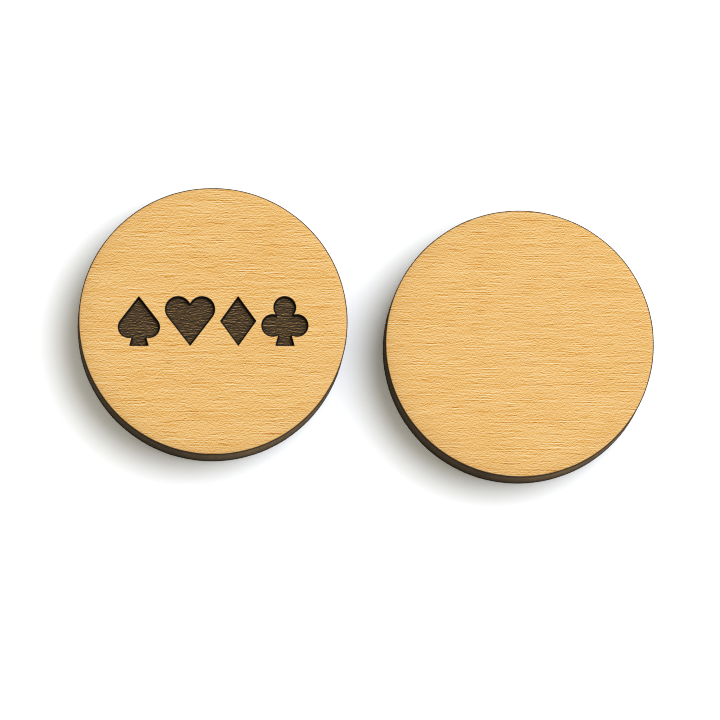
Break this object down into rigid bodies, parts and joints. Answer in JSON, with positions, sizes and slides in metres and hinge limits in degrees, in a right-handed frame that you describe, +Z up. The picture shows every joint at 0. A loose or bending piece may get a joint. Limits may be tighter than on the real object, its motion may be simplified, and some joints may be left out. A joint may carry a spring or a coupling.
{
  "type": "game token",
  "caption": "Flat round game tokens laser-cut from beech plywood with burnt edges: an engraved token and a plain one, loose from each other, that rest flat on a table and stack.",
  "frame": {"origin": "middle of the engraved token's underside, on the table", "axes": "+Z up from the table, +X along the grain of the outer veneers and towards the plain token, so +Y is the top of the engraved figures"},
  "size_m": [0.0534, 0.0271, 0.005],
  "materials": {
    "beech_veneer": "sanded beech veneer with its cut edge and its engraving burnt dark brown",
    "beech_core": "cross-grain beech, which shows only at the laser-burnt edge",
    "resin_glue": "cured resin film, burnt nearly black at the edge"
  },
  "bodies": {
    "engraved_token": {"engraved_face_veneer": "beech_veneer", "engraved_face_glue": "resin_glue", "engraved_core_ply": "beech_core", "engraved_back_glue": "resin_glue", "engraved_back_veneer": "beech_veneer"},
    "plain_token": {"plain_face_veneer": "beech_veneer", "plain_face_glue": "resin_glue", "plain_core_ply": "beech_core", "plain_back_glue": "resin_glue", "plain_back_veneer": "beech_veneer"}
  },
  "joints": [
    {"name": "plain_token_lift", "type": "slide", "parent": "engraved_token", "child": "plain_token", "axis": [0, 0, 1], "range_m": [0, 0.03]}
  ]
}
